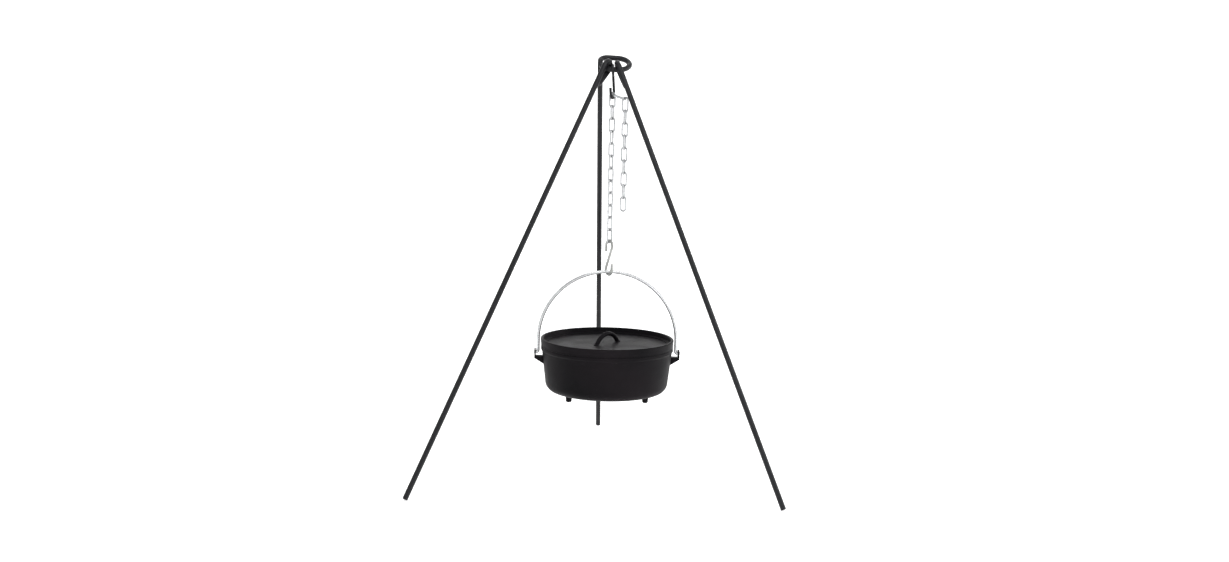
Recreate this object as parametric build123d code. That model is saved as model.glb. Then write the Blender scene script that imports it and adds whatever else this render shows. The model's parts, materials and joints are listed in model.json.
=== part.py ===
from build123d import *
import math
import os

# Campfire tripod with a camp oven hanging on its chain. Millimetres, +Z up.
# The model is laid out on the hang axis: X = Y = 0 under the hook's seat, Z = 0 on the ground.
# At the end everything moves sideways together, so that the origin is the centre of its own box.

# ---- Driving dimensions ----
GAP = 0.15                # clearance where two pieces bear on each other

LEG_R = 6.35              # 1/2 in round bar
LEG_END_FILLET = 1.5
LEFT_FOOT = (-452, -277)
RIGHT_FOOT = (410, -292)
BACK_FOOT = (-22, 525)

RING_CENTRE = Vector(3.7, 26.5, 993)
RING_HALF_WIDTH = 34.9    # centreline, along X
RING_HALF_DEPTH = 30      # centreline, front to back
RING_BACK_BEND = 18       # bend where the back run meets the leg's side
RING_STEM_BEND = 15       # bend that turns the back leg into the ring
RING_STEM_SHIFT = -4      # the leg stands this far in front of the ring's middle
RING_SAG = 3              # degrees that the ring's right end hangs below square to the leg
RING_CUT_ANGLE = 202      # the bar's end stops just short of the stem, degrees round the left bend

EYE_R = 15.2              # centreline radius of a side leg's turned eye
EYE_TAIL = 46             # the eye's end lies on the shaft this far below the eye
LEFT_EYE_ANGLE = 30       # place of the eye round the ring's end bend, from its front run
RIGHT_EYE_X = 15          # place of the right leg's eye on the ring's front run

HOOK_R = 3.175            # 1/4 in round bar
HOOK_EYE_R = 11.4
HOOK_EYE_GAP = 0.6        # above the ring, which the eye crosses a little askew
HOOK_LEAN = 4             # degrees, the shank's top leans towards -X
HOOK_MOUTH = Vector(-0.33, -0.944, 0)   # from the shank towards the free arm
HOOK_SEAT_Z = 912.6
HOOK_ARM = 13             # straight length of the free arm

WIRE_R = 2.25             # chain wire
LINK_WIDTH = 13           # centreline
LINK_LENGTH = 34          # centreline, crown to crown
MAIN_LINKS = 12
SPARE_LINKS = 9           # hanging ones, after the one that lies across the hook
CHAIN_TWIST = -31.1       # degrees over the main strand
SPARE_DROP = 17           # degrees below level of the link across the hook
SPARE_LIFT = 7.75          # height of its crown above the hook's seat centreline

S_ROD_R = 3.175
S_LOOP_R = 11
S_HEIGHT = 82.5           # between the two loops' crowns, centreline
S_UPPER_ARM = 16
S_LOWER_ARM = 16
S_YAW = -50.3             # degrees from +X to the side that the lower arm is on

BAIL_R = 3.9
BAIL_ARCH_R = 166.5
BAIL_BEND = 5
BAIL_TIP_R = 177.5        # the turned-out ends stand just outside the ears
OVEN_YAW = 3              # degrees

EAR_Z = 301               # height of the bail's pivots
EAR_PLATE_R = 171.8       # inner face of the plate that the bail's end goes through
EAR_PLATE = 3.6
EAR_HALF = 9             # half width, and the radius of the plate's top
EAR_DROP = 9              # from the pivot down to the shelf
FLANGE_BOTTOM = 309.6
PARTING = 316.6
LID_TOP = 336.6
LID_R = 160.5
POT_FLANGE_R = 159.5
POT_TOP_R = 157
POT_LOW_R = 148.5
POT_BOTTOM = 207.5
POT_WALL = 5.5
POT_CORNER = 24
FOOT_CIRCLE_R = 105.5
FOOT_DROP = 18
FOOT_R = 6.5
RECESS = 14               # depth of the lid's dished top
LID_PLATE = 5.5
LID_HANDLE_SPAN = 80
LID_HANDLE_RISE = 26
LID_HANDLE_R = 5.2
LID_HANDLE_YAW = 48

UP = Vector(0, 0, 1)


def side_step(direction, side):
    """The part of side that is square to direction, as a unit vector."""
    return (side - direction * side.dot(direction)).normalized()


def polar(centre, along, across, radius, degrees):
    """Point at an angle on a circle whose 0 and 90 degree directions are along and across."""
    turn = math.radians(degrees)
    return centre + along * (radius * math.cos(turn)) + across * (radius * math.sin(turn))


def bend(centre, along, across, radius, start, end):
    """Arc of that circle between two angles in degrees."""
    points = [polar(centre, along, across, radius, a) for a in (start, (start + end) / 2, end)]
    return ThreePointArc(*points)


def bar(edges, radius):
    """Round bar along a chain of lines and tangent arcs."""
    path = Wire(edges)
    section = Plane(origin=path @ 0, z_dir=path % 0) * Circle(radius)
    return sweep(section, path=path)


def soften_end(solid, point, amount):
    """Round off the edge of the bar's cut end at a point."""
    circles = solid.edges().filter_by(GeomType.CIRCLE)
    rim = circles.sort_by(lambda edge: (edge.arc_center - point).length)[0]
    return fillet(rim, amount)


# ---- Tripod ----
# The ring starts square to the back leg, whose top turns into it, and sags a little to the right.
def ring_frame():
    """Ring axes: across to the right, back along its depth, and the back leg's direction."""
    stem_top = RING_CENTRE + Vector(-RING_HALF_WIDTH, 0, 0)
    leg = (stem_top - Vector(*BACK_FOOT, 0)).normalized()
    square = side_step(leg, Vector(1, 0, 0))
    sag = math.radians(RING_SAG)
    return square * math.cos(sag) - leg * math.sin(sag), leg.cross(square), leg


RING_ACROSS, RING_BACK, RING_UP = ring_frame()


def on_ring(across, back, up=0):
    return RING_CENTRE + RING_ACROSS * across + RING_BACK * back + RING_UP * up


def foot_end(top, shaft):
    """Centre of a leg's cut end, where its rounded edge just meets the ground."""
    tilt = math.acos(shaft.Z)
    rise = LEG_END_FILLET * (1 - math.cos(tilt)) + (LEG_R - LEG_END_FILLET) * math.sin(tilt)
    return top - shaft * ((top.Z - rise) / shaft.Z)


def make_back_leg():
    """One bar: foot, stem, bend, side, back run, right end, front run and round to its cut end."""
    side = -RING_HALF_WIDTH
    end_x = RING_HALF_WIDTH - RING_HALF_DEPTH
    stem_top = on_ring(side, RING_STEM_SHIFT, -RING_STEM_BEND)
    stem_foot = foot_end(stem_top, RING_UP)
    side_start = RING_STEM_SHIFT + RING_STEM_BEND
    side_end = RING_HALF_DEPTH - RING_BACK_BEND
    corner_r = RING_BACK_BEND
    leg = bar(
        [
            Line(stem_foot, stem_top),
            bend(on_ring(side, side_start, -RING_STEM_BEND), RING_BACK, RING_UP, RING_STEM_BEND, 180, 90),
            Line(on_ring(side, side_start), on_ring(side, side_end)),
            bend(on_ring(side + corner_r, side_end), RING_ACROSS, RING_BACK, corner_r, 180, 90),
            Line(on_ring(side + corner_r, RING_HALF_DEPTH), on_ring(end_x, RING_HALF_DEPTH)),
            bend(on_ring(end_x, 0), RING_ACROSS, RING_BACK, RING_HALF_DEPTH, 90, -90),
            Line(on_ring(end_x, -RING_HALF_DEPTH), on_ring(-end_x, -RING_HALF_DEPTH)),
            bend(on_ring(-end_x, 0), RING_ACROSS, RING_BACK, RING_HALF_DEPTH, 270, RING_CUT_ANGLE),
        ],
        LEG_R,
    )
    return soften_end(leg, stem_foot, LEG_END_FILLET)


def left_ring_point():
    """Ring centreline point and direction inside the left leg's eye."""
    end_x = RING_HALF_WIDTH - RING_HALF_DEPTH
    turn = math.radians(LEFT_EYE_ANGLE)
    across = -end_x - RING_HALF_DEPTH * math.sin(turn)
    back = -RING_HALF_DEPTH * math.cos(turn)
    along = RING_ACROSS * math.cos(turn) - RING_BACK * math.sin(turn)
    return on_ring(across, back), along


def right_ring_point():
    across = RIGHT_EYE_X - RING_CENTRE.X
    return on_ring(across, -RING_HALF_DEPTH), RING_ACROSS


def make_side_leg(ring_point, ring_along, foot):
    """Bar whose top is turned round the ring, its end lying back against the shaft."""
    ground = Vector(*foot, 0)
    lift = (ring_point - ground).normalized()
    normal = side_step(lift, ring_along)
    inward = lift.cross(normal)
    play = EYE_R - 2 * LEG_R - GAP
    centre = ring_point + lift * play
    shaft_side = centre - inward * EYE_R
    shaft = (shaft_side - ground).normalized()
    # a second pass squares the eye to the shaft's true direction
    normal = side_step(shaft, ring_along)
    inward = shaft.cross(normal)
    centre = ring_point + shaft * play
    shaft_side = centre - inward * EYE_R
    shaft_foot = foot_end(shaft_side, shaft)
    tail = centre + inward * (2 * LEG_R + 0.3 - EYE_R) - shaft * EYE_TAIL
    reach = tail - centre
    tail_angle = math.degrees(math.atan2(reach.dot(shaft), reach.dot(inward)))
    tangent = tail_angle + math.degrees(math.acos(EYE_R / reach.length))
    leave = polar(centre, inward, shaft, EYE_R, tangent)
    leg = bar(
        [
            Line(shaft_foot, shaft_side),
            bend(centre, inward, shaft, EYE_R, 180, tangent),
            Line(leave, tail),
        ],
        LEG_R,
    )
    leg = soften_end(leg, shaft_foot, LEG_END_FILLET)
    return leg, {"pivot": ring_point, "foot": shaft_foot, "shaft": shaft, "eye": centre}


# ---- Hook ----
def make_hook():
    """Black J-hook: free arm, round bottom, shank and an eye closed over the ring's front run."""
    lean = math.radians(HOOK_LEAN)
    shank = Vector(-math.sin(lean), 0, math.cos(lean))
    mouth = side_step(shank, HOOK_MOUTH)
    forward = side_step(shank, Vector(0, -1, 0))
    mouth_r = HOOK_EYE_R / abs(mouth.dot(Vector(0, 1, 0)))
    seat = Vector(0, 0, HOOK_SEAT_Z)
    down = side_step(mouth.cross(shank).normalized(), UP * -1)
    bottom = seat - down * mouth_r
    arm_foot = bottom + mouth * mouth_r
    shank_foot = bottom - mouth * mouth_r
    front = on_ring(-RING_CENTRE.X, -RING_HALF_DEPTH)
    eye_drop = HOOK_EYE_R - HOOK_R - LEG_R - HOOK_EYE_GAP
    shank_length = (front.Z - eye_drop - shank_foot.Z) / shank.Z
    shank_top = shank_foot + shank * shank_length
    eye = shank_top + forward * HOOK_EYE_R
    back = forward * -1
    hook = bar(
        [
            Line(arm_foot + shank * HOOK_ARM, arm_foot),
            bend(bottom, mouth, shank, mouth_r, 0, -180),
            Line(shank_foot, shank_top),
            bend(eye, back, shank, HOOK_EYE_R, 0, 316),
        ],
        HOOK_R,
    )
    hook = soften_end(hook, arm_foot + shank * HOOK_ARM, 0.8)
    return hook, {"eye": eye, "mouth_r": mouth_r, "mouth": mouth, "shank": shank, "bottom": bottom}


# ---- Chain ----
def make_link(crown, down, width):
    """Welded link from the centreline of its first crown, along down, as wide as LINK_WIDTH."""
    r = LINK_WIDTH / 2
    first = crown + down * r
    last = crown + down * (LINK_LENGTH - r)
    path = [
        bend(first, width, down, r, 180, 360),
        Line(first + width * r, last + width * r),
        bend(last, width, down, r, 0, 180),
        Line(last - width * r, first - width * r),
    ]
    section = Plane(origin=first - width * r, z_dir=down) * Circle(WIRE_R)
    return sweep(section, path=Wire(path))


def heading(degrees):
    turn = math.radians(degrees)
    return Vector(math.cos(turn), math.sin(turn), 0)


CHAIN_PITCH = LINK_LENGTH - 2 * WIRE_R - GAP
FIRST_WIDTH = math.degrees(math.atan2(HOOK_MOUTH.X, -HOOK_MOUTH.Y))
SPARE_TOP = HOOK_SEAT_Z + SPARE_LIFT
MAIN_TOP = SPARE_TOP + 2 * WIRE_R + GAP


def main_strand():
    """Crown point and width direction of each link between the hook and the S-hook."""
    links = []
    for i in range(MAIN_LINKS):
        turn = FIRST_WIDTH + 90 * i + CHAIN_TWIST * i / (MAIN_LINKS - 1)
        links.append((Vector(0, 0, MAIN_TOP - CHAIN_PITCH * i), heading(turn)))
    return links


def spare_strand():
    """Crown point, down direction and width of the link across the hook and those below it."""
    out = heading(FIRST_WIDTH)
    drop = math.radians(SPARE_DROP)
    lie = out * math.cos(drop) - UP * math.sin(drop)
    first = Vector(0, 0, SPARE_TOP)
    links = [(first, lie, heading(FIRST_WIDTH + 90))]
    top = first + lie * LINK_LENGTH + UP * (2 * WIRE_R + GAP)
    for i in range(SPARE_LINKS):
        width = heading(FIRST_WIDTH + 90 * (i % 2))
        links.append((top - UP * (CHAIN_PITCH * i), UP * -1, width))
    return links


# ---- S-hook ----
MAIN_END = MAIN_TOP - CHAIN_PITCH * (MAIN_LINKS - 1) - LINK_LENGTH
S_TOP = MAIN_END + WIRE_R + S_ROD_R + GAP
S_BOTTOM = S_TOP - S_HEIGHT


def make_s_hook():
    """S-hook: upper loop through the last link, lower loop under the bail."""
    side = heading(S_YAW)
    corners = [
        (-1, S_TOP - S_LOOP_R - S_UPPER_ARM),
        (-1, S_TOP),
        (1, S_TOP),
        (1, S_TOP - S_LOOP_R - 5),
        (-1, S_BOTTOM + S_LOOP_R + 5),
        (-1, S_BOTTOM),
        (1, S_BOTTOM),
        (1, S_BOTTOM + S_LOOP_R + S_LOWER_ARM),
    ]
    points = [side * (sign * S_LOOP_R) + UP * z for sign, z in corners]
    loop = S_LOOP_R - 0.05
    path = FilletPolyline(*points, radius=[loop, loop, 16, 16, loop, loop])
    section = Plane(origin=path @ 0, z_dir=path % 0) * Circle(S_ROD_R)
    hook = sweep(section, path=path)
    hook = soften_end(hook, points[0], 0.8)
    return soften_end(hook, points[-1], 0.8)


# ---- Camp oven, built round its own axis and turned by OVEN_YAW ----
BAIL_TOP = S_BOTTOM + S_ROD_R + BAIL_R + GAP


def make_bail():
    """Wire arch with its ends turned out through the ears."""
    spring = BAIL_TOP - BAIL_ARCH_R
    turn_z = EAR_Z + BAIL_BEND
    x_axis = Vector(1, 0, 0)
    outer = BAIL_ARCH_R + BAIL_BEND
    edges = [
        Line(Vector(-BAIL_TIP_R, 0, EAR_Z), Vector(-outer, 0, EAR_Z)),
        bend(Vector(-outer, 0, turn_z), x_axis, UP, BAIL_BEND, -90, 0),
        Line(Vector(-BAIL_ARCH_R, 0, turn_z), Vector(-BAIL_ARCH_R, 0, spring)),
        bend(Vector(0, 0, spring), x_axis, UP, BAIL_ARCH_R, 180, 0),
        Line(Vector(BAIL_ARCH_R, 0, spring), Vector(BAIL_ARCH_R, 0, turn_z)),
        bend(Vector(outer, 0, turn_z), x_axis, UP, BAIL_BEND, 180, 270),
        Line(Vector(outer, 0, EAR_Z), Vector(BAIL_TIP_R, 0, EAR_Z)),
    ]
    bail = bar(edges, BAIL_R)
    for side in (-1, 1):
        bail = soften_end(bail, Vector(side * BAIL_TIP_R, 0, EAR_Z), 1.2)
    return bail


def turned(points, rounds):
    """Solid turned round Z from an outline of (radius, z) points; rounds maps a point to a fillet."""
    face = make_face(Polyline(*[(r, 0, z) for r, z in points], close=True))
    for index, radius in rounds.items():
        r, z = points[index]
        corner = face.vertices().sort_by_distance((r, 0, z))[0]
        face = fillet(corner, radius)
    return revolve(face, Axis.Z)


def make_ear():
    """Cast ear: a shelf under the flange, and a rounded plate outside it with the bail's hole."""
    outer = EAR_PLATE_R + EAR_PLATE
    shelf = Polyline(
        (POT_TOP_R - 5, 0, EAR_Z - EAR_DROP),
        (outer, 0, EAR_Z - EAR_DROP),
        (outer, 0, EAR_Z - EAR_DROP - 5),
        (POT_TOP_R - 6, 0, EAR_Z - EAR_DROP - 20),
        close=True,
    )
    ear = extrude(make_face(shelf), EAR_HALF, dir=(0, 1, 0), both=True)
    face = Plane(origin=(EAR_PLATE_R, 0, EAR_Z), x_dir=(0, 1, 0), z_dir=(1, 0, 0))
    foot = Pos(0, -EAR_DROP / 2 - 1) * Rectangle(2 * EAR_HALF, EAR_DROP + 2)
    plate = extrude(face * (Circle(EAR_HALF) + foot - Circle(BAIL_R + 0.35)), EAR_PLATE)
    return ear + plate


def make_pot():
    """Cast pot: flange, tapered wall, rounded bottom, three feet and two ears."""
    t = POT_WALL
    outline = [
        (0, POT_BOTTOM),
        (POT_LOW_R - 3, POT_BOTTOM),
        (POT_TOP_R, FLANGE_BOTTOM - 4),
        (POT_FLANGE_R, FLANGE_BOTTOM),
        (POT_FLANGE_R, PARTING - GAP),
        (POT_TOP_R - t, PARTING - GAP),
        (POT_LOW_R - 3 - t, POT_BOTTOM + t),
        (0, POT_BOTTOM + t),
    ]
    pot = turned(outline, {1: POT_CORNER, 6: POT_CORNER - t, 3: 1.5, 4: 1.2, 5: 1.2})
    for angle in (90, 210, 330):
        x = FOOT_CIRCLE_R * math.cos(math.radians(angle))
        y = FOOT_CIRCLE_R * math.sin(math.radians(angle))
        foot = Pos(x, y, POT_BOTTOM - FOOT_DROP) * Cone(
            FOOT_R, FOOT_R + 2.5, FOOT_DROP + 3, align=(Align.CENTER, Align.CENTER, Align.MIN)
        )
        foot = fillet(foot.edges().sort_by(Axis.Z)[0], 3)
        pot += foot
    ear = make_ear()
    return pot + ear + mirror(ear, about=Plane.YZ)


def make_lid():
    """Cast lid: raised rim round a dished top, locating lip below, and a loop handle."""
    floor = LID_TOP - RECESS
    under = floor - LID_PLATE
    lip_r = POT_TOP_R - POT_WALL - 1.2
    outline = [
        (0, under + 1.5),
        (lip_r - 4.5, under),
        (lip_r - 4.5, PARTING - 6),
        (lip_r, PARTING - 6),
        (lip_r, PARTING),
        (LID_R - 1.5, PARTING),
        (LID_R, LID_TOP),
        (LID_R - 6.5, LID_TOP),
        (LID_R - 8.5, floor + 2.5),
        (LID_R - 14, floor + 2.2),
        (LID_R - 15, floor),
        (0, floor + 1.5),
    ]
    lid = turned(outline, {3: 1.2, 5: 1.0, 6: 2.0, 7: 2.0, 8: 2.0})
    half = LID_HANDLE_SPAN / 2
    base = floor - 1
    side = heading(LID_HANDLE_YAW)
    arch = ThreePointArc(side * -half + UP * base, UP * (base + LID_HANDLE_RISE), side * half + UP * base)
    handle = bar([arch], LID_HANDLE_R)
    for end in (-half, half):
        pad = Cone(LID_HANDLE_R + 3.5, LID_HANDLE_R + 0.5, 5)
        handle += Pos(*(side * end + UP * (base + 2))) * pad
    below = Pos(0, 0, under - 20 + 3) * Cylinder(90, 40)
    return lid + (handle - below)


def build():
    """Every node by name, and the places that its joints turn about, on the hang axis."""
    nodes = {"back_leg_with_ring": make_back_leg()}
    places = {}
    nodes["left_leg"], places["left_leg"] = make_side_leg(*left_ring_point(), LEFT_FOOT)
    nodes["right_leg"], places["right_leg"] = make_side_leg(*right_ring_point(), RIGHT_FOOT)
    nodes["j_hook"], places["j_hook"] = make_hook()
    places["main"] = main_strand()
    for i, (crown, width) in enumerate(places["main"], 1):
        nodes[f"main_link_{i:02d}"] = make_link(crown, UP * -1, width)
    places["spare"] = spare_strand()
    for i, (crown, down, width) in enumerate(places["spare"], 1):
        nodes[f"spare_link_{i:02d}"] = make_link(crown, down, width)
    nodes["s_hook"] = make_s_hook()
    oven = {"oven_bail": make_bail(), "oven_pot": make_pot(), "oven_lid": make_lid()}
    for name, shape in oven.items():
        nodes[name] = Rot(0, 0, OVEN_YAW) * shape
    return nodes, places


NODES, PLACES = build()
WHOLE = Compound(children=[Compound(shape.solids()) for shape in NODES.values()]).bounding_box()
HANG_AXIS = Vector(-(WHOLE.min.X + WHOLE.max.X) / 2, -(WHOLE.min.Y + WHOLE.max.Y) / 2, 0)

os.makedirs("parts", exist_ok=True)
for name, shape in NODES.items():
    export_step(Pos(*HANG_AXIS) * shape, f"parts/{name}.step")
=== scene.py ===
import json
import math
import bpy
from mathutils import Matrix, Vector

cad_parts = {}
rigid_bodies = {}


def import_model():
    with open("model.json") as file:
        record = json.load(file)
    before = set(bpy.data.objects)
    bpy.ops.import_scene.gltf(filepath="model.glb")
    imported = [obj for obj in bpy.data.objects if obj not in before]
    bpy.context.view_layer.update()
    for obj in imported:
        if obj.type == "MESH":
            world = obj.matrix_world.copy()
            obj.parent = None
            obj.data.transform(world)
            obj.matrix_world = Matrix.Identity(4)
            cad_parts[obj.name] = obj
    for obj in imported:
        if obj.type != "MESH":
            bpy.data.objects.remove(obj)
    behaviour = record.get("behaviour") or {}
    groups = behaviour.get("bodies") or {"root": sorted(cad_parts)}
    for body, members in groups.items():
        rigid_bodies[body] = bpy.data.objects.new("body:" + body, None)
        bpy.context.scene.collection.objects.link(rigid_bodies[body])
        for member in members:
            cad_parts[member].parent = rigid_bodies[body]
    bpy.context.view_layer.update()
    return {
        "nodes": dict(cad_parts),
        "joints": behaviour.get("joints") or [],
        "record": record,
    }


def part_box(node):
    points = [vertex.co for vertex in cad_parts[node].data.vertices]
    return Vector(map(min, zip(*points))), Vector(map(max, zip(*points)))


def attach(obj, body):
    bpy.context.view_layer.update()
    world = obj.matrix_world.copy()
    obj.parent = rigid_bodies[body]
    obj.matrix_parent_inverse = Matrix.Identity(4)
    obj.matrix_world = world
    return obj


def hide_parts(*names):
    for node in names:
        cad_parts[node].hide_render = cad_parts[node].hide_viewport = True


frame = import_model()

# Campfire tripod with a hanging camp oven: materials, studio and the pieces that need finer
# meshes than the frame's. Metres, in the frame's own axes.

record = frame["record"]
mounts = {mount["name"]: mount for mount in record["mounts"]}
joints = {joint["child"]: joint for joint in frame["joints"]}
hang = Vector(mounts["hook_seat"]["pos_m"])


# ---- Material tools ----
class Shader:
    """A principled material and short calls that add nodes to it."""

    def __init__(self, name):
        self.material = bpy.data.materials.new(name)
        self.material.use_nodes = True
        self.tree = self.material.node_tree
        self.bsdf = self.tree.nodes["Principled BSDF"]
        self.place = self.add("ShaderNodeTexCoord").outputs["Object"]

    def add(self, kind, **settings):
        node = self.tree.nodes.new(kind)
        for key, value in settings.items():
            setattr(node, key, value)
        return node

    def link(self, source, target):
        self.tree.links.new(source, target)

    def set(self, **values):
        for key, value in values.items():
            self.bsdf.inputs[key.replace("_", " ")].default_value = value

    def stretch(self, x, y, z):
        node = self.add("ShaderNodeMapping")
        node.inputs["Scale"].default_value = (x, y, z)
        self.link(self.place, node.inputs["Vector"])
        return node.outputs["Vector"]

    def noise(self, scale, detail=4.0, rough=0.5, distortion=0.0, place=None):
        node = self.add("ShaderNodeTexNoise")
        node.inputs["Scale"].default_value = scale
        node.inputs["Detail"].default_value = detail
        node.inputs["Roughness"].default_value = rough
        node.inputs["Distortion"].default_value = distortion
        self.link(place or self.place, node.inputs["Vector"])
        return node.outputs["Fac"]

    def cells(self, scale, place=None):
        node = self.add("ShaderNodeTexVoronoi")
        node.inputs["Scale"].default_value = scale
        self.link(place or self.place, node.inputs["Vector"])
        return node.outputs

    def ramp(self, factor, *stops):
        node = self.add("ShaderNodeValToRGB")
        elements = node.color_ramp.elements
        while len(elements) < len(stops):
            elements.new(0.5)
        for element, (position, colour) in zip(elements, stops):
            element.position = position
            element.color = (*colour, 1) if len(colour) == 3 else colour
        self.link(factor, node.inputs["Fac"])
        return node.outputs["Color"]

    def grey(self, factor, low_at, low, high_at, high):
        node = self.add("ShaderNodeMapRange")
        node.inputs["From Min"].default_value = low_at
        node.inputs["From Max"].default_value = high_at
        node.inputs["To Min"].default_value = low
        node.inputs["To Max"].default_value = high
        self.link(factor, node.inputs["Value"])
        return node.outputs["Result"]

    def mix(self, factor, first, second, blend="MIX"):
        node = self.add("ShaderNodeMix", data_type="RGBA", blend_type=blend)
        for socket, value in ((node.inputs["Factor"], factor), (node.inputs[6], first), (node.inputs[7], second)):
            if isinstance(value, (int, float)):
                socket.default_value = value
            elif isinstance(value, tuple):
                socket.default_value = (*value, 1)
            else:
                self.link(value, socket)
        return node.outputs[2]

    def math(self, operation, first, second):
        node = self.add("ShaderNodeMath", operation=operation)
        for socket, value in zip(node.inputs, (first, second)):
            if isinstance(value, (int, float)):
                socket.default_value = value
            else:
                self.link(value, socket)
        return node.outputs["Value"]

    def attribute(self, name):
        return self.add("ShaderNodeAttribute", attribute_name=name).outputs["Fac"]

    def relief(self, *layers):
        """Stacks (height, strength, depth in metres) into the surface's bump."""
        normal = None
        for height, strength, depth in layers:
            node = self.add("ShaderNodeBump")
            node.inputs["Strength"].default_value = strength
            node.inputs["Distance"].default_value = depth
            self.link(height, node.inputs["Height"])
            if normal:
                self.link(normal, node.inputs["Normal"])
            normal = node.outputs["Normal"]
        self.link(normal, self.bsdf.inputs["Normal"])

    def finish(self, colour, roughness):
        self.link(colour, self.bsdf.inputs["Base Color"])
        self.link(roughness, self.bsdf.inputs["Roughness"])
        return self.material


# ---- Materials ----
def black_paint():
    """Satin black enamel on round bar: mottled, finely pebbled, scuffed in places."""
    s = Shader("black_paint")
    s.set(Metallic=0.0, Specular_IOR_Level=0.22, Coat_Weight=0.05, Coat_Roughness=0.3)
    mottle = s.noise(14, 5, 0.6)
    pebble = s.noise(1500, 3, 0.55)
    drift = s.noise(120, 4, 0.6, 0.4)
    scuff = s.noise(260, 6, 0.75, 1.2)
    base = s.ramp(mottle, (0.3, (0.006, 0.006, 0.0072)), (0.7, (0.013, 0.013, 0.0155)))
    bare = s.ramp(scuff, (0.66, (0, 0, 0)), (0.74, (1, 1, 1)))
    colour = s.mix(s.math("MULTIPLY", bare, 0.5), base, (0.045, 0.044, 0.042))
    s.relief((drift, 0.25, 0.0004), (pebble, 0.22, 0.00012), (scuff, 0.12, 0.0001))
    return s.finish(colour, s.grey(drift, 0.3, 0.34, 0.7, 0.5))


def zinc(name, dark, light, rough, grime):
    """Zinc plate on steel wire: cloudy, finely grained, dull where pieces rub."""
    s = Shader(name)
    s.set(Metallic=0.9, Specular_IOR_Level=0.5)
    cloud = s.noise(55, 5, 0.6, 0.3)
    grain = s.noise(900, 4, 0.6)
    spangle = s.cells(420)["Distance"]
    spots = s.noise(310, 6, 0.7, 0.8)
    base = s.ramp(cloud, (0.3, dark), (0.7, light))
    frost = s.mix(0.18, base, s.ramp(spangle, (0.0, dark), (0.6, light)))
    dull = s.ramp(spots, (0.6, (0, 0, 0)), (0.75, (1, 1, 1)))
    stained = s.mix(s.math("MULTIPLY", dull, grime), frost, (0.16, 0.16, 0.155))
    worn = s.mix(s.math("MULTIPLY", s.attribute("contact"), 0.8), stained, (0.075, 0.077, 0.08))
    s.relief((cloud, 0.2, 0.0002), (grain, 0.25, 0.00006))
    return s.finish(worn, s.grey(grain, 0.3, rough, 0.7, rough + 0.14))


def seasoned_iron():
    """Seasoned cast iron: sand-cast grain, oily sheen that comes and goes, a faint warm tint."""
    s = Shader("seasoned_iron")
    s.set(Metallic=0.0, Specular_IOR_Level=0.055)
    patch = s.noise(9, 5, 0.6, 0.5)
    tint = s.noise(5, 3, 0.5)
    sand = s.noise(620, 6, 0.62)
    coarse = s.noise(170, 5, 0.6)
    pits = s.cells(300)["Distance"]
    base = s.ramp(patch, (0.3, (0.003, 0.0028, 0.0035)), (0.7, (0.007, 0.0064, 0.0076)))
    warm = s.mix(s.grey(tint, 0.4, 0.0, 0.7, 0.45), base, (0.014, 0.010, 0.012))
    pore = s.ramp(pits, (0.0, (0.55, 0.55, 0.55)), (0.16, (1, 1, 1)))
    colour = s.mix(1.0, warm, pore, "MULTIPLY")
    s.relief((coarse, 0.3, 0.0006), (sand, 0.45, 0.00022), (pits, 0.12, 0.0002))
    return s.finish(colour, s.grey(patch, 0.3, 0.42, 0.7, 0.6))


def paper(name, shade):
    """Matt studio paper."""
    s = Shader(name)
    s.set(Specular_IOR_Level=0.1)
    fibre = s.noise(3, 4, 0.5)
    colour = s.ramp(fibre, (0.3, (shade,) * 3), (0.7, (shade + 0.01,) * 3))
    s.set(Emission_Strength=0.62)
    s.link(colour, s.bsdf.inputs["Emission Color"])
    return s.finish(colour, s.grey(fibre, 0.3, 0.9, 0.7, 0.95))


PAINT = black_paint()
CHAIN_ZINC = zinc("chain_zinc", (0.42, 0.43, 0.44), (0.74, 0.75, 0.76), 0.26, 0.4)
HOOK_ZINC = zinc("hook_zinc", (0.24, 0.245, 0.235), (0.42, 0.425, 0.415), 0.3, 0.5)
BAIL_STEEL = zinc("bail_steel", (0.5, 0.51, 0.515), (0.72, 0.73, 0.74), 0.2, 0.15)
IRON = seasoned_iron()

FINISH = {
    "black_steel": PAINT,
    "zinc_chain": CHAIN_ZINC,
    "zinc_wire": HOOK_ZINC,
    "bail_wire": BAIL_STEEL,
    "cast_iron": IRON,
}


def dress(item, material):
    """Gives an object one material and smooth shading on every face."""
    item.data.materials.clear()
    item.data.materials.append(material)
    for face in item.data.polygons:
        face.use_smooth = True
        face.material_index = 0


for part in record["subparts"]:
    dress(frame["nodes"][part["node"]], FINISH[part["material_slot"]])


# ---- Chain links ----
WIRE = 0.00225
LINK_HALF_WIDTH = 0.0065
LINK_HALF_LENGTH = 0.017


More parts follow.
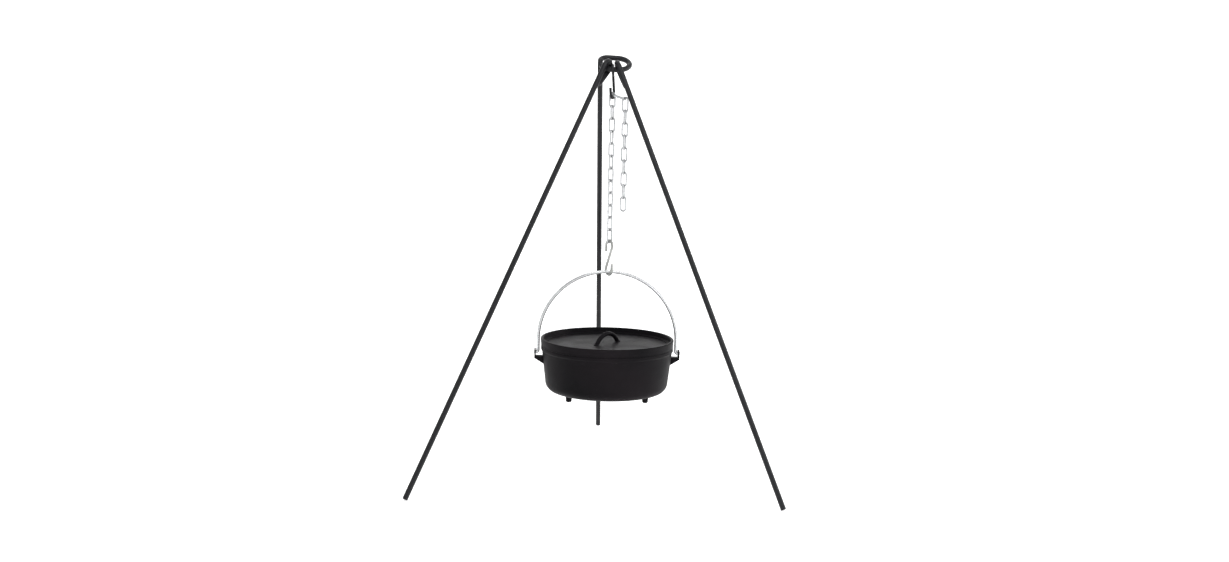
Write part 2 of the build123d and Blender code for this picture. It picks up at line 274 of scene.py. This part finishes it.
def link_mesh(name, centre, width, down, weld_side):
    """Welded wire link: two crowns, two sides, a butt weld with a raised ring, rubbed seats."""
    r = LINK_HALF_WIDTH
    straight = LINK_HALF_LENGTH - r
    normal = width.cross(down)
    arc_steps, side_steps, round_steps = 18, 16, 18
    path = []
    for end in (1, -1):
        for i in range(arc_steps):
            turn = math.pi * i / arc_steps
            out = width * (end * math.cos(turn)) + down * (end * math.sin(turn))
            path.append((down * (end * straight) + out * r, out, math.sin(turn), 0.0))
        for i in range(side_steps):
            along = i / side_steps
            weld = abs(along - 0.5) * 2 * straight if end == weld_side else 1.0
            out = width * -end
            path.append((down * (end * straight * (1 - 2 * along)) + out * r, out, 0.0, weld))
    points, rubbed, faces = [], [], []
    count = len(path)
    for place, out, crown, weld in path:
        ring = 0.00018 * math.exp(-((weld - 0.0009) / 0.0005) ** 2) if weld < 1 else 0.0
        ring -= 0.00010 * math.exp(-(weld / 0.0004) ** 2) if weld < 1 else 0.0
        seat = max(0.0, crown - 0.55) / 0.45
        for k in range(round_steps):
            turn = 2 * math.pi * k / round_steps
            facing = -math.cos(turn)
            worn = seat * max(0.0, facing) ** 1.5
            thick = WIRE + ring - 0.00004 * worn
            points.append(centre + place + out * (math.cos(turn) * thick) + normal * (math.sin(turn) * thick))
            rubbed.append(min(1.0, worn * 1.3 + (0.35 if weld < 0.0006 else 0.0)))
    for i in range(count):
        for k in range(round_steps):
            j, n = (i + 1) % count, (k + 1) % round_steps
            faces.append((i * round_steps + k, i * round_steps + n, j * round_steps + n, j * round_steps + k))
    mesh = bpy.data.meshes.new(name)
    mesh.from_pydata(points, [], faces)
    layer = mesh.attributes.new("contact", "FLOAT", "POINT")
    layer.data.foreach_set("value", rubbed)
    item = bpy.data.objects.new(name, mesh)
    bpy.context.scene.collection.objects.link(item)
    dress(item, CHAIN_ZINC)
    return item


def follower(node):
    """The joint of the piece that hangs on this link, or None at a strand's end."""
    return next((joint for joint in frame["joints"] if joint["parent"] == node), None)


def make_chain():
    """Every link's own mesh, standing as its CAD node does."""
    names = [part["node"] for part in record["subparts"] if part["material_slot"] == "zinc_chain"]
    widths = {}
    for number, node in enumerate(names):
        low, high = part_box(node)
        centre = (Vector(low) + Vector(high)) / 2
        after = follower(node)
        strand = node[:5]
        parity = int(node[-2:]) % 2
        if after:
            widths[strand, parity] = Vector(after["axis"]).normalized()
        width = widths[strand, parity]
        down = Vector((0, 0, -1))
        if node == "spare_link_01":
            down = (Vector(after["pos_m"]) - Vector(joints[node]["pos_m"])).normalized()
        item = link_mesh(node + "_wire", centre, width, down, 1 if number % 3 else -1)
        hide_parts(node)
        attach(item, node)


make_chain()


# ---- Studio ----
def lamp(name, place, aim, size, power, tint=(1, 1, 1)):
    data = bpy.data.lights.new(name, "AREA")
    data.shape = "RECTANGLE"
    data.size, data.size_y = size
    data.energy = power
    data.color = tint
    item = bpy.data.objects.new(name, data)
    item.location = place
    item.rotation_euler = (Vector(aim) - Vector(place)).to_track_quat("-Z", "Y").to_euler()
    bpy.context.scene.collection.objects.link(item)


def studio():
    """Pale floor that rises into a pale backdrop, and soft light from above and both sides."""
    half, depth, wall, curve, steps = 14.0, 9.0, 9.0, 3.0, 12
    profile = [(-14.0, 0.0), (depth - curve, 0.0)]
    for i in range(1, steps + 1):
        turn = math.pi / 2 * i / steps
        profile.append((depth - curve + curve * math.sin(turn), curve - curve * math.cos(turn)))
    profile.append((depth, wall))
    points = [(side * half, y, z) for y, z in profile for side in (-1, 1)]
    faces = [(2 * i, 2 * i + 1, 2 * i + 3, 2 * i + 2) for i in range(len(profile) - 1)]
    mesh = bpy.data.meshes.new("floor")
    mesh.from_pydata(points, [], faces)
    floor = bpy.data.objects.new("floor", mesh)
    bpy.context.scene.collection.objects.link(floor)
    dress(floor, paper("floor_paper", 0.88))
    world = bpy.data.worlds.new("studio")
    bpy.context.scene.world = world
    world.use_nodes = True
    tree = world.node_tree
    place = tree.nodes.new("ShaderNodeTexCoord")
    split = tree.nodes.new("ShaderNodeSeparateXYZ")
    tree.links.new(place.outputs["Generated"], split.inputs["Vector"])
    room = tree.nodes.new("ShaderNodeValToRGB")
    room.color_ramp.elements[0].position = 0.0
    room.color_ramp.elements[0].color = (0.5, 0.5, 0.51, 1)
    room.color_ramp.elements[1].position = 0.9
    room.color_ramp.elements[1].color = (0.6, 0.6, 0.6, 1)
    tree.links.new(split.outputs["Z"], room.inputs["Fac"])
    sky = tree.nodes["Background"]
    tree.links.new(room.outputs["Color"], sky.inputs["Color"])
    sky.inputs["Strength"].default_value = 1.0
    lamp("key", (2.6, -3.0, 2.6), (0, 0, 0.5), (1.3, 2.2), 48)
    lamp("fill", (-3.4, -2.2, 2.2), (0, 0, 0.6), (1.2, 2.4), 16)
    lamp("band", (0.3, -2.6, 3.3), (0.1, -0.2, 0.3), (1.4, 0.5), 35)
    lamp("rim", (3.6, 0.4, 1.3), (0, -0.1, 0.3), (0.9, 1.8), 40)
    lamp("top", (0, 0.4, 4.0), (0, 0, 0.3), (3.0, 3.0), 22)
    lamp("wash", (0, 3.0, 5.5), (0, 8.5, 3.0), (8.0, 1.5), 260)


def camera():
    """Camera at chest height, tilted a little down and rolled a little."""
    data = bpy.data.cameras.new("camera")
    data.sensor_width = 36
    data.lens = 46.87
    data.clip_end = 100
    item = bpy.data.objects.new("camera", data)
    pitch, roll = math.radians(7.96), math.radians(1.3)
    aim = Vector((0, math.cos(pitch), -math.sin(pitch)))
    item.rotation_euler = (
        Matrix.Rotation(-roll, 3, aim) @ aim.to_track_quat("-Z", "Y").to_matrix()
    ).to_euler()
    item.location = (hang.x + 0.0144, hang.y - 3.808, 1.0085)
    bpy.context.scene.collection.objects.link(item)
    bpy.context.scene.camera = item


studio()
camera()
bpy.context.scene.view_settings.view_transform = "Standard"
